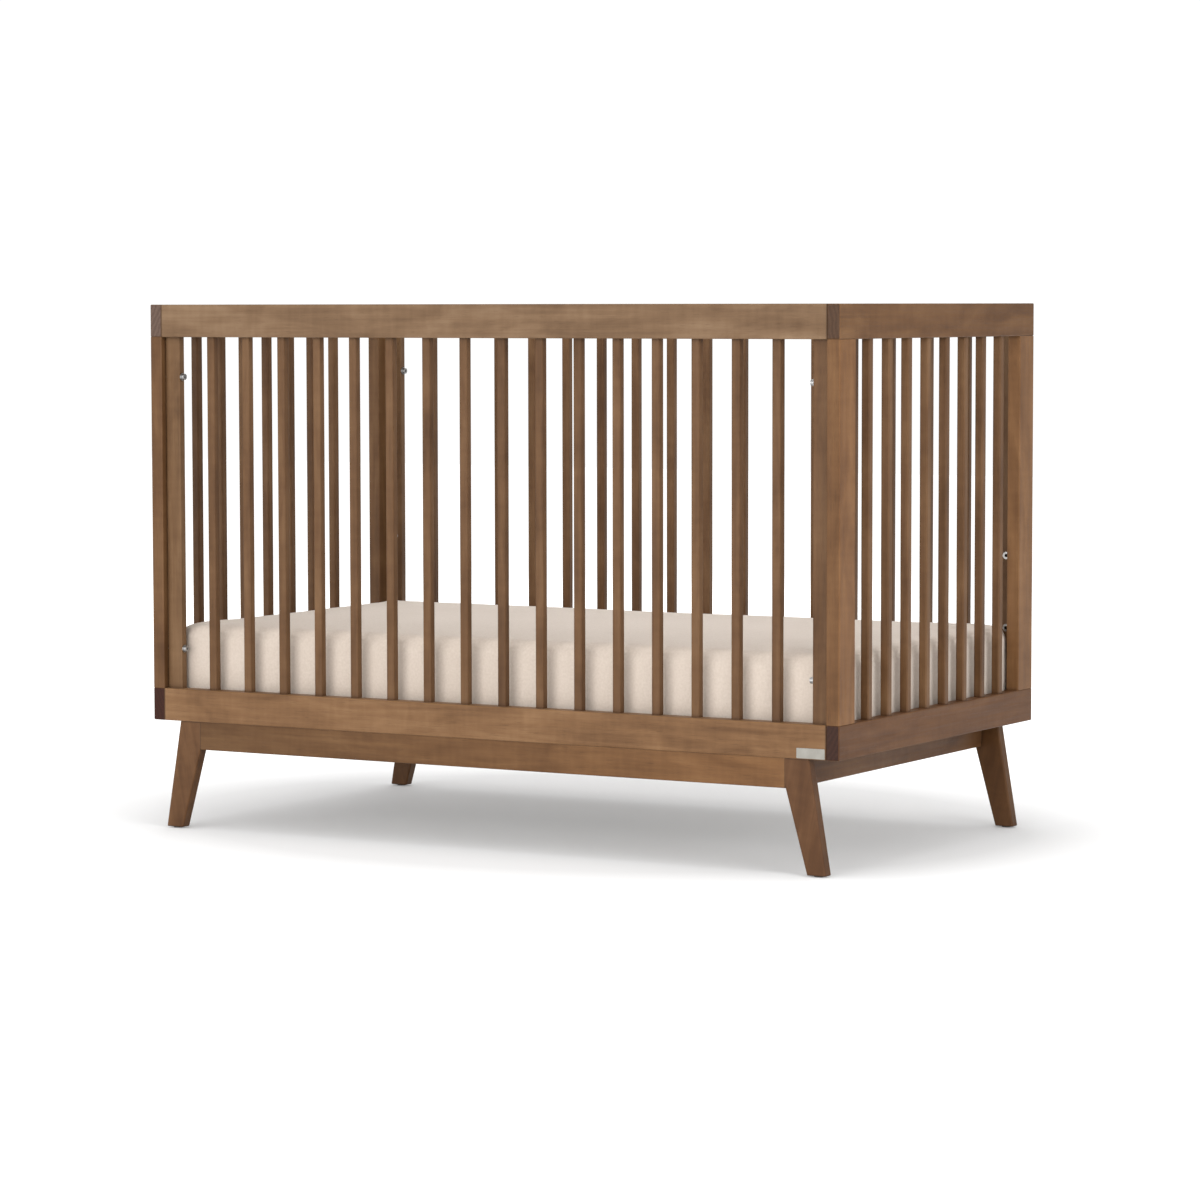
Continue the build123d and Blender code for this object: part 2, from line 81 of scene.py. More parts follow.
# Most of a noise's values are in these ranges
NOISE_RANGE = (0.3, 0.7)
FINE_RANGE = (0.35, 0.65)


class Graph:
    """A material with a Principled shader, and short calls for its nodes."""

    def __init__(self, name, **constants):
        self.material = bpy.data.materials.new(name)
        self.material.use_nodes = True
        self.tree = self.material.node_tree
        self.tree.nodes.clear()
        self.shader = self.add("ShaderNodeBsdfPrincipled")
        out = self.add("ShaderNodeOutputMaterial")
        self.tree.links.new(self.shader.outputs["BSDF"], out.inputs["Surface"])
        for socket, value in constants.items():
            self.shader.inputs[socket.replace("_", " ")].default_value = value
        self.place = self.add("ShaderNodeTexCoord").outputs["Object"]

    def add(self, kind, **settings):
        node = self.tree.nodes.new(kind)
        for key, value in settings.items():
            setattr(node, key, value)
        return node

    def put(self, socket, value):
        if isinstance(value, bpy.types.NodeSocket):
            self.tree.links.new(value, socket)
        else:
            socket.default_value = value

    def surface(self, colour, roughness):
        self.put(self.shader.inputs["Base Color"], colour)
        self.put(self.shader.inputs["Roughness"], roughness)
        return self.material

    def math(self, operation, a, b=0.0):
        node = self.add("ShaderNodeMath", operation=operation)
        self.put(node.inputs[0], a)
        self.put(node.inputs[1], b)
        return node.outputs[0]

    def mixed(self, *layers):
        """The sum of values, each times its share."""
        total = None
        for value, share in layers:
            part = self.math("MULTIPLY", value, share)
            total = part if total is None else self.math("ADD", total, part)
        return total

    def moved(self, vector, location=(0, 0, 0), rotation=(0, 0, 0), scale=(1, 1, 1)):
        node = self.add("ShaderNodeMapping")
        self.put(node.inputs["Vector"], vector)
        node.inputs["Location"].default_value = location
        node.inputs["Rotation"].default_value = rotation
        node.inputs["Scale"].default_value = scale
        return node.outputs[0]

    def noise(self, vector, scale=1.0, detail=2.0, roughness=0.5, distortion=0.0):
        node = self.add("ShaderNodeTexNoise")
        self.put(node.inputs["Vector"], vector)
        node.inputs["Scale"].default_value = scale
        node.inputs["Detail"].default_value = detail
        node.inputs["Roughness"].default_value = roughness
        node.inputs["Distortion"].default_value = distortion
        return node.outputs["Fac"]

    def waves(self, vector, scale, distortion, detail, **settings):
        node = self.add("ShaderNodeTexWave", **settings)
        self.put(node.inputs["Vector"], vector)
        node.inputs["Scale"].default_value = scale
        node.inputs["Distortion"].default_value = distortion
        node.inputs["Detail"].default_value = detail
        return node.outputs["Fac"]

    def remap(self, value, low, high, to_low=0.0, to_high=1.0):
        node = self.add("ShaderNodeMapRange")
        self.put(node.inputs["Value"], value)
        for socket, number in zip(node.inputs[1:5], (low, high, to_low, to_high)):
            socket.default_value = number
        return node.outputs["Result"]

    def ramp(self, value, positions, colours):
        node = self.add("ShaderNodeValToRGB")
        self.put(node.inputs["Fac"], value)
        points = node.color_ramp.elements
        while len(points) < len(positions):
            points.new(0.5)
        for point, position, colour in zip(points, positions, colours):
            point.position = position
            point.color = (*colour, 1.0)
        return node.outputs["Color"]

    def blend(self, share, a, b, how="MIX"):
        """Colour a with a share of b, which is a colour or a socket."""
        node = self.add("ShaderNodeMix", data_type="RGBA", blend_type=how)
        if isinstance(b, tuple):
            b = (*b, 1.0)
        for socket, value in zip((node.inputs[0], node.inputs[6], node.inputs[7]), (share, a, b)):
            self.put(socket, value)
        return node.outputs[2]

    def bump(self, height, strength, distance):
        node = self.add("ShaderNodeBump")
        node.inputs["Strength"].default_value = strength
        node.inputs["Distance"].default_value = distance
        self.put(node.inputs["Height"], height)
        self.put(self.shader.inputs["Normal"], node.outputs["Normal"])

    def along(self, axis):
        """The place along one axis, in metres."""
        parts = self.add("ShaderNodeSeparateXYZ")
        self.put(parts.inputs[0], self.place)
        return parts.outputs[axis]

    def facing(self, axis):
        """1 on the faces that look along an axis, either way."""
        turned = self.add("ShaderNodeSeparateXYZ")
        self.put(turned.inputs[0], self.add("ShaderNodeNewGeometry").outputs["Normal"])
        return self.remap(self.math("ABSOLUTE", turned.outputs[axis]), *FACING_RANGE)

    def edges(self, radius, low, high):
        """1 on rounded edges and corners, 0 on flat faces."""
        soft = self.add("ShaderNodeBevel", samples=4)
        soft.inputs["Radius"].default_value = radius
        turn = self.add("ShaderNodeVectorMath", operation="DOT_PRODUCT")
        self.put(turn.inputs[0], soft.outputs[0])
        self.put(turn.inputs[1], self.add("ShaderNodeNewGeometry").outputs["Normal"])
        return self.remap(turn.outputs["Value"], high, low)

    def painted_corner_shade(self, reach):
        """Painted shade: 1 deep in the corners where pieces meet, 0 in the open."""
        node = self.add("ShaderNodeAmbientOcclusion", samples=4)
        node.inputs["Distance"].default_value = reach
        return self.remap(node.outputs["AO"], *CREVICE_RANGE)


def tinted(colours, tint):
    return [tuple(c * t for c, t in zip(colour, tint)) for colour in colours]


# Stained wood: its colours from dark to light, worn, in the pores and in painted shade, and of the end
# grain
WOOD_STAIN = ((0.09261, 0.04441, 0.01748), (0.1531, 0.08033, 0.03544), (0.2155, 0.1229, 0.05953))
WOOD_WORN = (0.2551, 0.1493, 0.07749)
PORE_AND_SHADE_DARK = (0.045, 0.022, 0.010)
END_GRAIN = ((0.030, 0.0155, 0.0095), (0.058, 0.033, 0.0215))
STAIN_STOPS = (0.30, 0.50, 0.70)
END_GRAIN_STOPS = (0.25, 0.75)
WOOD_GLOSS = 0.16
WOOD_ROUGHNESS = (0.40, 0.56)
# Scales of the grain's noise, along the grain and across it
STREAK_SCALE = (4, 230)
MOTTLE_SCALE = (6, 19)
CHATTER_SCALE = (85, 16)
FIGURE_SCALE = (2.4, 30)
PORE_SCALE = (38, 1500)
GRAIN_OFFSET = 40
# Share of each layer of the grain in the stain's value
MOTTLE_SHARE = 0.60
STREAK_SHARE = 0.20
CHATTER_SHARE = 0.12
RING_SHARE = 0.08
RING_COUNT = 9.0
SLAT_SPREAD = 0.05
# Pores are dark, and a little deeper than the streaks
PORE_RANGE = (0.63, 0.74)
PORE_SHADE = 0.42
PORE_RELIEF = 0.8
STREAK_RELIEF = 0.6
# Edges of boards are worn light in places, and edges of slats are dark
EDGE_RADIUS = 0.0028
EDGE_RANGE = (0.90, 0.995)
WEAR_MOTTLE = (0.38, 0.66)
WEAR_SHARE = (0.04, 0.34)
SLAT_EDGE_SHADE = 0.3
# Painted shade in the corners where boards meet, and dark lines at the ends of boards, in metres and as
# shares
CREVICE_REACH = 0.007
CREVICE_SHADE = 0.6
SEAM_WIDTH = 0.0024
SEAM_SHADE = 0.75
# Growth rings and specks of the end grain
GROWTH_SCALE = 40
GROWTH_DISTORTION = 6.0
GROWTH_OFFSET = 0.05
GROWTH_STEP = 0.02
GROWTH_SHARE = 0.22
SPECK_SCALE = 900
# Each board's tint on the stain, by node or else by kind. Some tints also hold painted light and shade:
# the legs are darker as painted shade under the overhang, the right end's boards are lighter as painted
# light from the right, and the front top rail is paler and bluer as a painted sheen.
BOARD_TONES_AND_LIGHT = {
    "rail": (0.85, 0.86, 0.88),
    "stile": (0.74, 0.73, 0.72),
    "slats": (0.68, 0.635, 0.595),
    "leg": (0.54, 0.435, 0.31),
    "apron": (0.78, 0.68, 0.56),
    "front_apron": (0.77, 0.69, 0.58),
    "right_apron": (0.62, 0.53, 0.465),
    "front_top_rail": (0.93, 1.03, 1.21),
    "front_bottom_rail": (1.03, 1.00, 0.975),
    "left_top_rail": (0.64, 0.55, 0.44),
    "right_top_rail": (0.72, 0.63, 0.515),
    "left_bottom_rail": (0.53, 0.42, 0.33),
    "right_bottom_rail": (0.60, 0.47, 0.35),
    "front_right_stile": (0.67, 0.62, 0.58),
    "front_left_stile": (0.82, 0.83, 0.84),
    "left_front_stile": (0.66, 0.59, 0.51),
    "left_back_stile": (0.70, 0.65, 0.60),
    "right_front_stile": (1.00, 0.87, 0.71),
    "right_back_stile": (1.06, 0.97, 0.86),
    "right_slats": (0.75, 0.70, 0.655),
    "front_left_leg": (0.63, 0.545, 0.48),
    "front_right_leg": (0.555, 0.46, 0.40),
}
# Tints of the end grain that shows where the end rails run through
END_TINTS = {
    "left_top_rail": (2.00, 2.25, 2.60),
    "right_top_rail": (1.24, 1.11, 0.86),
    "left_bottom_rail": (0.62, 0.24, 0.13),
    "right_bottom_rail": (0.66, 0.42, 0.35),
}
# Painted shade on the faces to the front and back of a board, which makes them darker than the rest of it
PAINTED_FACE_SHADE = {"right_front_stile": (0.76, 0.77, 0.78)}
# Painted shade and light along a board: its colour is multiplied by the first number at its low end and by
# the second at its high end
PAINTED_LIGHT_ALONG = {"front_apron": (0.74, 1.32)}


def slat_shade(g, value, row_axis, pitch, seed):
    """The stain's value, a little different on every slat of the row."""
    number = g.math("FLOOR", g.math("DIVIDE", g.along(row_axis), pitch))
    white = g.add("ShaderNodeTexWhiteNoise", noise_dimensions="1D")
    g.put(white.inputs["W"], g.math("ADD", number, seed))
    return g.math("ADD", value, g.remap(white.outputs["Value"], 0, 1, -SLAT_SPREAD, SLAT_SPREAD))


def end_grain(g, grain, seed, tint):
    place = g.moved(g.place, location=(GROWTH_OFFSET, 0.0, -GROWTH_STEP * seed))
    growth = g.waves(
        place, GROWTH_SCALE, GROWTH_DISTORTION, detail=2, wave_type="RINGS", rings_direction=grain
    )
    specks = g.noise(g.place, scale=SPECK_SCALE, detail=2)
    value = g.mixed((growth, GROWTH_SHARE), (specks, 1 - GROWTH_SHARE))
    return g.ramp(value, END_GRAIN_STOPS, tinted(END_GRAIN, tint))


def board_ends(node, grain):
    return tuple(corner[AXES.index(grain)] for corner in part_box(node))


def seam_shade(g, node, grain):
    """The shade of the thin dark line at both ends of a board."""
    low, high = board_ends(node, grain)
    half = (high - low) / 2
    off_centre = g.math("ABSOLUTE", g.math("SUBTRACT", g.along(grain), (low + high) / 2))
    return g.remap(off_centre, half - SEAM_WIDTH, half - SEAM_WIDTH / 3, 0.0, SEAM_SHADE)


def grain_layers(g, grain, seed, tilt):
    """Noise of the streaks, mottle, chatter, rings and pores; every board has its own offset."""
    draw = random.Random(seed)
    offset = tuple(draw.uniform(-GRAIN_OFFSET, GRAIN_OFFSET) for _ in range(3))
    base = g.moved(g.place, location=offset, rotation=(0, tilt, 0))

    def stretched(by_length, by_width):
        scale = [by_width] * 3
        scale[AXES.index(grain)] = by_length
        return g.moved(base, scale=scale)

    streak = g.noise(stretched(*STREAK_SCALE), detail=4, roughness=0.62)
    mottle = g.noise(stretched(*MOTTLE_SCALE), detail=3, roughness=0.55, distortion=0.6)
    chatter = g.noise(stretched(*CHATTER_SCALE), detail=2, roughness=0.5)
    figure = g.noise(stretched(*FIGURE_SCALE), detail=1, roughness=0.4)
    rings = g.math("PINGPONG", g.math("MULTIPLY", figure, RING_COUNT), 1.0)
    pores = g.remap(g.noise(stretched(*PORE_SCALE), detail=1), *PORE_RANGE)
    return streak, mottle, chatter, rings, pores


def wood(node, kind, grain, seed, tilt, row):
    """Stained, lacquered wood of one board or row of slats, with its grain along one axis."""
    g = Graph(node, Specular_IOR_Level=WOOD_GLOSS)
    # The board's tint, which for some boards also holds painted light and shade
    tint = BOARD_TONES_AND_LIGHT.get(node, BOARD_TONES_AND_LIGHT[kind])
    streak, mottle, chatter, rings, pores = grain_layers(g, grain, seed, tilt)
    value = g.mixed(
        (mottle, MOTTLE_SHARE), (streak, STREAK_SHARE), (chatter, CHATTER_SHARE), (rings, RING_SHARE)
    )
    if row:
        value = slat_shade(g, value, *row, seed)
    colour = g.ramp(value, STAIN_STOPS, tinted(WOOD_STAIN, tint))
    colour = g.blend(g.math("MULTIPLY", pores, PORE_SHADE), colour, PORE_AND_SHADE_DARK)
    edges = g.edges(EDGE_RADIUS, *EDGE_RANGE)
    if row:
        colour = g.blend(g.math("MULTIPLY", edges, SLAT_EDGE_SHADE), colour, PORE_AND_SHADE_DARK)
    else:
        wear = g.math("MULTIPLY", edges, g.remap(mottle, *WEAR_MOTTLE, *WEAR_SHARE))
        colour = g.blend(wear, colour, *tinted([WOOD_WORN], tint))
    # Painted shade on the faces to the front and back
    if node in PAINTED_FACE_SHADE:
        colour = g.blend(g.facing("Y"), colour, PAINTED_FACE_SHADE[node], how="MULTIPLY")
    # Painted shade towards the low end of the board and painted light towards the high end
    if node in PAINTED_LIGHT_ALONG:
        slope = g.remap(g.along(grain), *board_ends(node, grain), *PAINTED_LIGHT_ALONG[node])
        colour = g.blend(1.0, colour, slope, how="MULTIPLY")
    # Painted shade in the corners where pieces meet, and a dark joint line at each end of the board
    shade = g.math("MULTIPLY", g.painted_corner_shade(CREVICE_REACH), CREVICE_SHADE)
    if node in END_TINTS:
        colour = g.blend(g.facing(grain), colour, end_grain(g, grain, seed, END_TINTS[node]))
    else:
        shade = g.math("MAXIMUM", shade, seam_shade(g, node, grain))
    g.bump(g.mixed((streak, STREAK_RELIEF), (pores, -PORE_RELIEF)), strength=0.22, distance=0.0005)
    # Darkens the colour with the painted shade in corners and the joint lines
    colour = g.blend(shade, colour, PORE_AND_SHADE_DARK)
    return g.surface(colour, g.remap(streak, *NOISE_RANGE, *WOOD_ROUGHNESS))


WOOD_KINDS = ("rail", "stile", "slats", "leg", "apron")
UPRIGHT_KINDS = ("stile", "slats", "leg")
# The legs, and their grain, lean outwards by this angle in radians
LEG_TILT = 0.186
# Rows of slats: distance from one to the next, and how many
SIDE_SLAT_PITCH = 0.07576
SIDE_SLAT_COUNT = 16
END_SLAT_PITCH = 0.07378
END_SLAT_COUNT = 8


def dress_wood():
    """Gives every board its own wood material, by the way that its grain runs."""
    for seed, (node, piece) in enumerate(sorted(NODES.items())):
        words = node.split("_")
        kind = words[-1]
        if kind not in WOOD_KINDS:
            continue
        across = words[0] in ("left", "right")
        row_axis = "Y" if across else "X"
        grain = "Z" if kind in UPRIGHT_KINDS else row_axis
        tilt = 0.0
        if kind == "leg":
            tilt = LEG_TILT if words[1] == "left" else -LEG_TILT
        row = None
        if kind == "slats":
            row = (row_axis, END_SLAT_PITCH if across else SIDE_SLAT_PITCH)
        use(piece, wood(node, kind, grain, seed, tilt, row))


# Dowels, metal, plastic and the plate
EDGE_WEAR = 0.5


def dowel_wood():
    g = Graph("dowel_wood", Specular_IOR_Level=0.3)
    dark = (0.50, 0.36, 0.22)
    light = (0.64, 0.49, 0.32)
    lines = g.noise(g.moved(g.place, scale=(12, 700, 700)), detail=3)
    g.bump(lines, strength=0.2, distance=0.0003)
    roughness = g.remap(lines, *NOISE_RANGE, to_low=0.55, to_high=0.7)
    return g.surface(g.ramp(lines, FINE_RANGE, (dark, light)), roughness)


def zinc_steel():
    g = Graph("zinc_steel", Metallic=1.0)
    dark = (0.25, 0.25, 0.25)
    light = (0.37, 0.36, 0.35)
    worn = (0.54, 0.53, 0.52)
    cloud = g.noise(g.place, scale=420, detail=3, roughness=0.6)
    fine = g.noise(g.place, scale=2600, detail=2)
    wear = g.math("MULTIPLY", g.edges(radius=0.0006, low=0.85, high=0.99), EDGE_WEAR)
    g.bump(fine, strength=0.08, distance=0.0001)
    roughness = g.remap(cloud, *NOISE_RANGE, to_low=0.24, to_high=0.40)
    return g.surface(g.blend(wear, g.ramp(cloud, NOISE_RANGE, (dark, light)), worn), roughness)


def coated_steel():
    g = Graph("coated_steel", Specular_IOR_Level=0.5)
    dark = (0.37, 0.37, 0.365)
    light = (0.43, 0.43, 0.425)
    worn = (0.24, 0.24, 0.245)
    peel = g.noise(g.place, scale=1100, detail=2, roughness=0.45)
    dust = g.noise(g.place, scale=26, detail=4, roughness=0.6)
    patches = g.remap(dust, 0.4, 0.7, to_low=0.0, to_high=EDGE_WEAR)
    wear = g.math("MULTIPLY", g.edges(radius=0.0008, low=0.86, high=0.99), patches)
    g.bump(peel, strength=0.25, distance=0.0002)
    roughness = g.remap(peel, *FINE_RANGE, to_low=0.36, to_high=0.50)
    return g.surface(g.blend(wear, g.ramp(dust, FINE_RANGE, (dark, light)), worn), roughness)


def glide_plastic():
    g = Graph("glide_plastic", Specular_IOR_Level=0.45)
    dark = (0.028, 0.023, 0.020)
    light = (0.075, 0.065, 0.058)
    grain = g.noise(g.place, scale=1900, detail=2)
    scuff = g.noise(g.place, scale=130, detail=4, roughness=0.65)
    g.bump(grain, strength=0.2, distance=0.0002)
    roughness = g.remap(scuff, *NOISE_RANGE, to_low=0.45, to_high=0.68)
    return g.surface(g.ramp(scuff, (0.35, 0.7), (dark, light)), roughness)


def plate_finish():
    g = Graph("plate", Specular_IOR_Level=0.5)
    dark = (0.215, 0.203, 0.176)
    light = (0.258, 0.246, 0.215)
    worn = (0.17, 0.16, 0.14)
    lines = g.noise(g.moved(g.place, scale=(40, 40, 2600)), detail=2)
    haze = g.noise(g.place, scale=60, detail=3)
    wear = g.math("MULTIPLY", g.edges(radius=0.0004, low=0.8, high=0.99), EDGE_WEAR)
    g.bump(lines, strength=0.1, distance=0.0001)
    roughness = g.remap(lines, *FINE_RANGE, to_low=0.28, to_high=0.42)
    return g.surface(g.blend(wear, g.ramp(haze, NOISE_RANGE, (dark, light)), worn), roughness)


def dress_hardware():
    steel = zinc_steel()
    coated = coated_steel()
    dowels = dowel_wood()
    for node, piece in NODES.items():
        if node in ("rail_dowels", "apron_dowels"):
            use(piece, dowels)
        elif node.startswith("support_") and node != "support_bolts":
            use(piece, coated)
        elif node.endswith(("_bolts", "_washers", "_inserts", "_brackets", "_screws")):
            use(piece, steel)
    use(NODES["foot_glides"], glide_plastic())
    use(NODES["blank_plate"], plate_finish())


# Cloth of the mattress and its sheet: dark and light colour, and distance between threads in metres
TICKING = ((0.74, 0.73, 0.71), (0.82, 0.81, 0.79))
TICKING_THREAD = 0.0009
SHEET = ((0.53, 0.45, 0.38), (0.59, 0.51, 0.44))
SHEET_THREAD = 0.0007
# A wave texture at this scale has one band to the metre
ONE_BAND = math.pi / 10
WEAVE_DISTORTION = 1.2
SLUB_RELIEF = 1.5
SLUB_SHARE = 0.75
CLOTH_STOPS = (0.36, 0.64)
CLOTH_ROUGHNESS = (0.82, 0.95)


def cloth(name, colours, thread, sheen):
    """Plain-woven cloth: threads along all three axes show as a weave on each face."""
    g = Graph(name, Specular_IOR_Level=0.2, Sheen_Weight=sheen, Sheen_Roughness=0.45)

    def threads(axis):
        return g.waves(
            g.place, ONE_BAND / thread, WEAVE_DISTORTION, detail=1, wave_type="BANDS", bands_direction=axis
        )

    slub = g.noise(g.place, scale=240, detail=3, roughness=0.6)
    cloud = g.noise(g.place, scale=7, detail=3)
    weave = [(threads(axis), 1.0) for axis in AXES]
    g.bump(g.mixed(*weave, (slub, SLUB_RELIEF)), strength=0.18, distance=0.0004)
    value = g.mixed((cloud, 1 - SLUB_SHARE), (slub, SLUB_SHARE))
    return g.surface(g.ramp(value, CLOTH_STOPS, colours), g.remap(slub, *NOISE_RANGE, *CLOTH_ROUGHNESS))


# The mattress's form and its cloth simulation; lengths here and below are in metres
FORM_VOXEL = 0.008
SWELL_ROOM = 0.002
SWELL_CAP = 0.004
SINK_CAP = 0.001
SWELL_STEPS = 20
HELD_BAND = 0.012
SWELL_SETTINGS = {
    "quality": 5,
    "mass": 0.3,
    "tension_stiffness": 12,
    "compression_stiffness": 12,
    "shear_stiffness": 6,
    "bending_stiffness": 0.6,
    "use_pressure": True,
    "uniform_pressure_force": 4,
    "vertex_group_mass": "held",
}
# How far the sides and ends fill out between the slats, and how wide a slat holds them back
SIDE_BELLY = 0.0040
END_BELLY = 0.0060
SLAT_DENT = 0.0005
SLAT_PRESS = 0.015
# Where they fill out: between these shares of the height, on upright faces, and off the corners
BELLY_FOOT = (0.0, 0.3)
BELLY_TOP = (0.70, 0.98)
UPRIGHT_RANGE = (0.6, 0.95)
CORNER_EASE = (0.012, 0.085)
# The crease below the top edge, which is lower behind the slats
CREASE_DEPTH = 0.0022
CREASE_DROP = 0.019
CREASE_WIDTH = 0.006
CREASE_ARCH = 0.008
# How far the bedding may pass the CAD mattress, so that it stays inside the rails
SIDE_PROUD = 0.004
END_PROUD = 0.001
# How far the core is inside the sheet, under it and at its edges
CORE_INSET = 0.0034
CORE_UNDER = 0.0016
CORE_ROUNDING = 0.010
# The sheet's margin under the mattress, and the round corners and gathers of its hem
SHEET_MARGIN = 0.085
HEM_CORNER = 0.06
HEM_GATHER = 0.004
HEM_RIPPLES = 22
HEM_LAYER = 3.0
HEM_BAND = 0.02
UNDER_FACING = -0.7
# Folds that fan out from the sheet's corners, and slow waves all over it
FOLD_FACING = -0.5
FOLD_REACH = 0.09
FOLD_START = 0.02
FOLD_COUNT = 17
FOLD_WANDER = 2.2
FOLD_RIPPLES = 9
FOLD_DEPTH = 0.0016
WAVE_RIPPLES = (5.5, 5.5, 3)
WAVE_DEPTH = 0.0009


def eased(value, low, high):
    share = min(1.0, max(0.0, (value - low) / (high - low)))
    return share * share * (3 - 2 * share)


def voxel_form(low, high):
    """The mattress's solid as an even mesh, with room left to swell."""
    source = new_piece("form_source", NODES["mattress"].data.copy())
    remesh = source.modifiers.new("voxels", "REMESH")
    remesh.mode = "VOXEL"
    remesh.voxel_size = FORM_VOXEL
    mesh = baked(source)
    bpy.data.objects.remove(source)
    middle = (low + high) / 2
    size = high - low
    shrink = [1 - 2 * SWELL_ROOM / size.x, 1 - 2 * SWELL_ROOM / size.y, 1 - SWELL_ROOM / size.z]
    for vertex in mesh.vertices:
        for i in range(2):
            vertex.co[i] = middle[i] + (vertex.co[i] - middle[i]) * shrink[i]
        vertex.co.z = low.z + (vertex.co.z - low.z) * shrink[2]
    return mesh


def swollen_form(low, high):
    """The mattress's form with its cover filled out by a short cloth simulation."""
    scene = bpy.context.scene
    mesh = voxel_form(low, high)
    piece = new_piece("form", mesh)
    rest = [vertex.co.copy() for vertex in mesh.vertices]
    held = piece.vertex_groups.new(name="held")
    held.add([v.index for v in mesh.vertices if v.co.z < low.z + HELD_BAND], 1.0, "REPLACE")
    sim = piece.modifiers.new("swell", "CLOTH")
    for setting, value in SWELL_SETTINGS.items():
        setattr(sim.settings, setting, value)
    sim.settings.effector_weights.gravity = 0
    sim.point_cache.frame_start = 1
    sim.point_cache.frame_end = SWELL_STEPS
    last_step = SWELL_STEPS
    for step in range(1, last_step + 1):
        scene.frame_set(step)
    swelled = baked(piece)
    scene.frame_set(1)
    mesh.update()
    for vertex, start, (_, normal) in zip(swelled.vertices, rest, with_normals(mesh)):
        move = vertex.co - start
        cap = SWELL_CAP if move.dot(normal) > 0 else SINK_CAP
        if move.length > cap:
            vertex.co = start + move * (cap / move.length)
    bpy.data.objects.remove(piece)
    return swelled


def finer_copy(mesh):
    """A copy of a mesh with every face split in four, and smoothed."""
    cover = new_piece("cover", mesh.copy())
    finer = cover.modifiers.new("finer", "SUBSURF")
    finer.levels = finer.render_levels = 1
    fine = baked(cover)
    bpy.data.objects.remove(cover)
    return fine


def between_slats(place, pitch, count):
    """0 behind the middle of a slat, and near 1 between two slats."""
    turn = place / pitch + (count - 1) / 2
    nearest = min(count - 1, max(0, round(turn)))
    return 1 - math.exp(-(((turn - nearest) * pitch / SLAT_PRESS) ** 2))


def keep_inside_rails(mesh, half):
    for vertex in mesh.vertices:
        vertex.co.x = max(-half.x - END_PROUD, min(half.x + END_PROUD, vertex.co.x))
        vertex.co.y = max(-half.y - SIDE_PROUD, min(half.y + SIDE_PROUD, vertex.co.y))
    mesh.update()


def press_on_slats(mesh, low, half):
    """Lets the sides fill out a little between the slats, creased under the top edge, inside the rails."""
    mesh.update()
    for vertex, normal in with_normals(mesh):
        place = vertex.co
        rise = (place.z - low.z) / (2 * half.z)
        belly = eased(rise, *BELLY_FOOT) * (1 - eased(rise, *BELLY_TOP))
        side = eased(abs(normal.y), *UPRIGHT_RANGE) * belly
        end = eased(abs(normal.x), *UPRIGHT_RANGE) * belly
        along_side = between_slats(place.x, SIDE_SLAT_PITCH, SIDE_SLAT_COUNT)
        along_end = between_slats(place.y, END_SLAT_PITCH, END_SLAT_COUNT)
        off_end = eased(half.x - abs(place.x), *CORNER_EASE)
        off_side = eased(half.y - abs(place.y), *CORNER_EASE)
        out_y = (SIDE_BELLY * along_side - SLAT_DENT) * off_end
        out_x = (END_BELLY * along_end - SLAT_DENT) * off_side
        full = along_side if abs(normal.y) > abs(normal.x) else along_end
        drop = (1 - rise) * 2 * half.z - CREASE_DROP - CREASE_ARCH * (1 - full)
        crease = CREASE_DEPTH * math.exp(-((drop / CREASE_WIDTH) ** 2))
        y = place.y + math.copysign(side, normal.y) * out_y - crease * normal.y
        x = place.x + math.copysign(end, normal.x) * out_x - crease * normal.x
        vertex.co.xy = x, y
    keep_inside_rails(mesh, half)


def past_hem(place, half):
    """How far a point under the mattress is outside the sheet's gathered hem, and the way out."""
    over = Vector((abs(place.x) - half.x, abs(place.y) - half.y, 0))
    over += Vector((1, 1, 0)) * (SHEET_MARGIN + HEM_CORNER)
    if over.x > 0 and over.y > 0:
        way = over.normalized()
    else:
        way = Vector((1, 0, 0)) if over.x > over.y else Vector((0, 1, 0))
    ripple = Vector((place.x * HEM_RIPPLES, place.y * HEM_RIPPLES, HEM_LAYER))
    far = over.dot(way) - HEM_CORNER + HEM_GATHER * noise.noise(ripple)
    return far, Vector((math.copysign(way.x, place.x), math.copysign(way.y, place.y), 0))


def open_underside(mesh, low, half):
    """Takes the middle of the underside out of the sheet, up to its hem."""
    edit = bmesh.new()
    edit.from_mesh(mesh)
    gone = []
    for face in edit.faces:
        middle = face.calc_center_median()
        under = face.normal.z < UNDER_FACING and middle.z < low.z + HEM_BAND
        if under and past_hem(middle, half)[0] < 0:
            gone.append(face)
    bmesh.ops.delete(edit, geom=gone, context="FACES")
    for vertex in edit.verts:
        if vertex.is_boundary:
            far, way = past_hem(vertex.co, half)
            vertex.co -= way * far
    edit.to_mesh(mesh)
    edit.free()


def fold_sheet(mesh, half):
    for vertex, normal in with_normals(mesh):
        if normal.z < FOLD_FACING:
            continue
        place = vertex.co
        from_end = half.x - abs(place.x)
        from_side = half.y - abs(place.y)
        near_corner = math.exp(-math.hypot(from_end, from_side) / FOLD_REACH)
        angle = math.atan2(from_side + FOLD_START, from_end + FOLD_START)
        turn = angle * FOLD_COUNT + FOLD_WANDER * noise.noise(place * FOLD_RIPPLES)
        fold = math.sin(turn) * FOLD_DEPTH * near_corner
        wave = noise.noise(Vector([c * r for c, r in zip(place, WAVE_RIPPLES)])) * WAVE_DEPTH
        vertex.co += normal * (fold + wave)


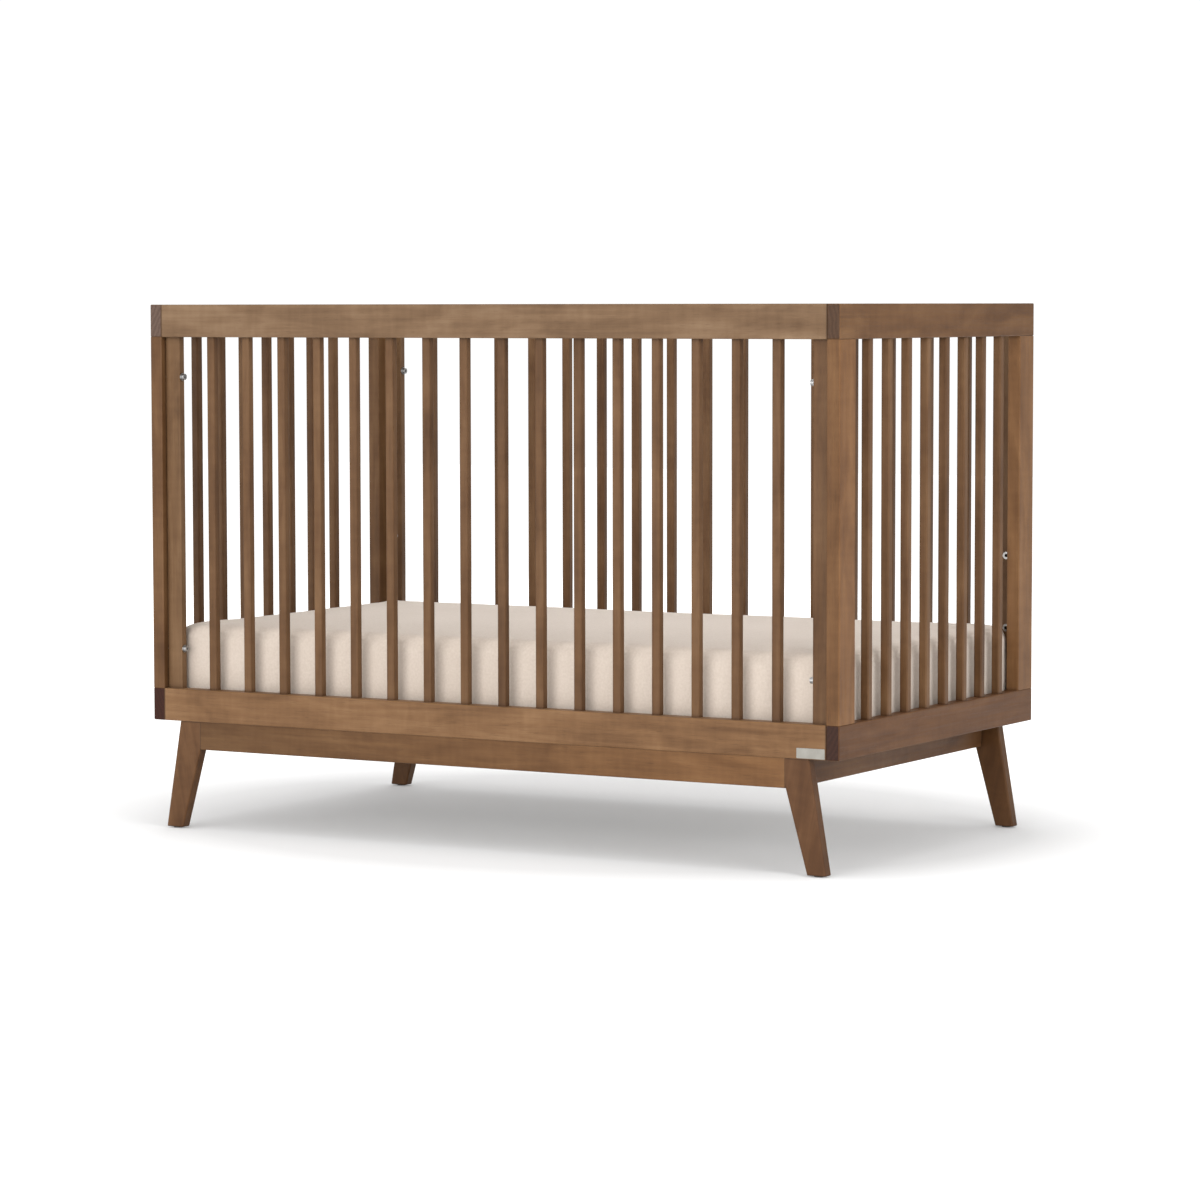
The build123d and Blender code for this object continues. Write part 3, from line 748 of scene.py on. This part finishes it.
def build_core(mesh, low, half):
    """The core is the same form as the sheet but smaller, so the hem shows against it from below."""
    press_on_slats(mesh, low, half)
    for vertex, normal in with_normals(mesh):
        bend = 1 - max(abs(n) for n in normal)
        inset = CORE_INSET if normal.z > UNDER_FACING else CORE_UNDER
        vertex.co -= normal * (inset + CORE_ROUNDING * bend)
    core = new_piece("mattress_core", mesh)
    smooth(core)
    use(core, cloth("mattress_ticking", TICKING, TICKING_THREAD, sheen=0.1))
    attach(core, "mattress")
    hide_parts("mattress")


def build_sheet(mesh, low, half):
    press_on_slats(mesh, low, half)
    open_underside(mesh, low, half)
    fold_sheet(mesh, half)
    keep_inside_rails(mesh, half)
    sheet = new_piece("fitted_sheet", mesh)
    smooth(sheet)
    use(sheet, cloth("sheet_fabric", SHEET, SHEET_THREAD, sheen=0.15))
    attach(sheet, "mattress")


def build_bedding():
    low, high = (Vector(corner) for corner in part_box("mattress"))
    half = (high - low) / 2
    core_mesh = swollen_form(low, high)
    sheet_mesh = finer_copy(core_mesh)
    build_core(core_mesh, low, half)
    build_sheet(sheet_mesh, low, half)


# Floor, light and camera
FLOOR_REACH = 14.0
FLOOR_DROP = 0.0004
FLOOR_GREYS = ((0.65, 0.65, 0.65), (0.67, 0.67, 0.67))
# The floor glows as painted light: a little near the crib, which lifts its shadow and leaves a painted
# soft shadow round it, and more with the distance from the crib, so that it runs into the backdrop
FLOOR_GLOW = (0.14, 0.56)
GLOW_REACH = (0.85, 1.35)
GLOW_SCALE = (1.05, 1.3, 1.0)
GLOW_OFFSET = (0.05, -0.13, 0.0)
# The backdrop is white to the camera, and lights the crib most from the front and above
BACKDROP_SEEN = 1.05
BACKDROP_SIDE = (0.0, -0.80, 0.6)
BACKDROP_RANGE = (-0.6, 1.0)
BACKDROP_LIGHT = (0.76, 1.40)
# Name, place, width and height, and power of each light
SOFTBOXES = (
    ("key", (-0.9, -5.8, 1.5), (6.5, 2.8), 165),
    ("fill", (5.2, -2.6, 1.8), (3.0, 2.4), 130),
    ("top", (0.0, -0.3, 4.6), (3.5, 2.5), 50),
    ("back", (-2.5, 5.6, 2.4), (4.0, 2.4), 90),
)
LIT_POINT = Vector((0, 0, 0.5))
# The camera that was solved from the photo: place in metres, angles in degrees, lens in millimetres
CAMERA_PLACE = (3.6765, -6.2826, 0.9392)
CAMERA_YAW = 30.216
CAMERA_PITCH = -4.159
CAMERA_ROLL = -0.09
CAMERA_LENS = 121.97
CAMERA_SENSOR = 36
CAMERA_CLIP_END = 100


def build_floor():
    signs = ((-1, -1), (1, -1), (1, 1), (-1, 1))
    mesh = bpy.data.meshes.new("floor")
    mesh.from_pydata([(x * FLOOR_REACH, y * FLOOR_REACH, 0) for x, y in signs], [], [(0, 1, 2, 3)])
    floor = new_piece("floor", mesh)
    floor.location.z = -FLOOR_DROP
    g = Graph("floor", Specular_IOR_Level=0.0, Roughness=0.9, Emission_Color=(1, 1, 1, 1))
    haze = g.noise(g.place, scale=0.7, detail=2)
    g.put(g.shader.inputs["Base Color"], g.ramp(haze, NOISE_RANGE, FLOOR_GREYS))
    # Painted light: the floor glows more with the distance from the crib, leaving a painted soft shadow
    # near it
    away = g.add("ShaderNodeVectorMath", operation="LENGTH")
    g.put(away.inputs[0], g.moved(g.place, location=GLOW_OFFSET, scale=GLOW_SCALE))
    glow = g.remap(away.outputs["Value"], *GLOW_REACH, *FLOOR_GLOW)
    g.put(g.shader.inputs["Emission Strength"], glow)
    use(floor, g.material)


def build_backdrop():
    world = bpy.data.worlds.new("studio")
    bpy.context.scene.world = world
    world.use_nodes = True
    tree = world.node_tree
    tree.nodes.clear()
    add = tree.nodes.new
    link = tree.links.new
    seen = add("ShaderNodeBackground")
    seen.inputs["Color"].default_value = (1, 1, 1, 1)
    seen.inputs["Strength"].default_value = BACKDROP_SEEN
    where = add("ShaderNodeTexCoord")
    facing = add("ShaderNodeVectorMath")
    facing.operation = "DOT_PRODUCT"
    facing.inputs[1].default_value = Vector(BACKDROP_SIDE).normalized()
    link(where.outputs["Generated"], facing.inputs[0])
    spread = add("ShaderNodeMapRange")
    for socket, number in zip(spread.inputs[1:5], BACKDROP_RANGE + BACKDROP_LIGHT):
        socket.default_value = number
    link(facing.outputs["Value"], spread.inputs["Value"])
    light = add("ShaderNodeBackground")
    link(spread.outputs["Result"], light.inputs["Strength"])
    path = add("ShaderNodeLightPath")
    pick = add("ShaderNodeMixShader")
    link(path.outputs["Is Camera Ray"], pick.inputs["Fac"])
    link(light.outputs[0], pick.inputs[1])
    link(seen.outputs[0], pick.inputs[2])
    out = add("ShaderNodeOutputWorld")
    link(pick.outputs[0], out.inputs["Surface"])


def build_lights():
    for name, place, size, power in SOFTBOXES:
        lamp = bpy.data.lights.new(name, "AREA")
        lamp.shape = "RECTANGLE"
        lamp.size, lamp.size_y = size
        lamp.energy = power
        box = bpy.data.objects.new(name, lamp)
        bpy.context.scene.collection.objects.link(box)
        box.location = place
        box.rotation_euler = (LIT_POINT - box.location).to_track_quat("-Z", "Y").to_euler()


def set_tones():
    view = bpy.context.scene.view_settings
    view.view_transform = "Standard"
    view.look = "None"


def build_camera():
    data = bpy.data.cameras.new("camera")
    data.sensor_width = CAMERA_SENSOR
    data.lens = CAMERA_LENS
    data.clip_end = CAMERA_CLIP_END
    camera = bpy.data.objects.new("camera", data)
    bpy.context.scene.collection.objects.link(camera)
    yaw, pitch, roll = (math.radians(a) for a in (CAMERA_YAW, CAMERA_PITCH, CAMERA_ROLL))
    level = math.cos(pitch)
    forward = Vector((-math.sin(yaw) * level, math.cos(yaw) * level, math.sin(pitch)))
    right = Vector((math.cos(yaw), math.sin(yaw), 0))
    up = right.cross(forward)
    across = math.cos(roll) * right + math.sin(roll) * up
    upright = math.cos(roll) * up - math.sin(roll) * right
    turn = Matrix((across, upright, -forward)).transposed().to_4x4()
    camera.matrix_world = Matrix.Translation(CAMERA_PLACE) @ turn
    bpy.context.scene.camera = camera


dress_wood()
dress_hardware()
build_bedding()
build_floor()
build_backdrop()
build_lights()
set_tones()
build_camera()
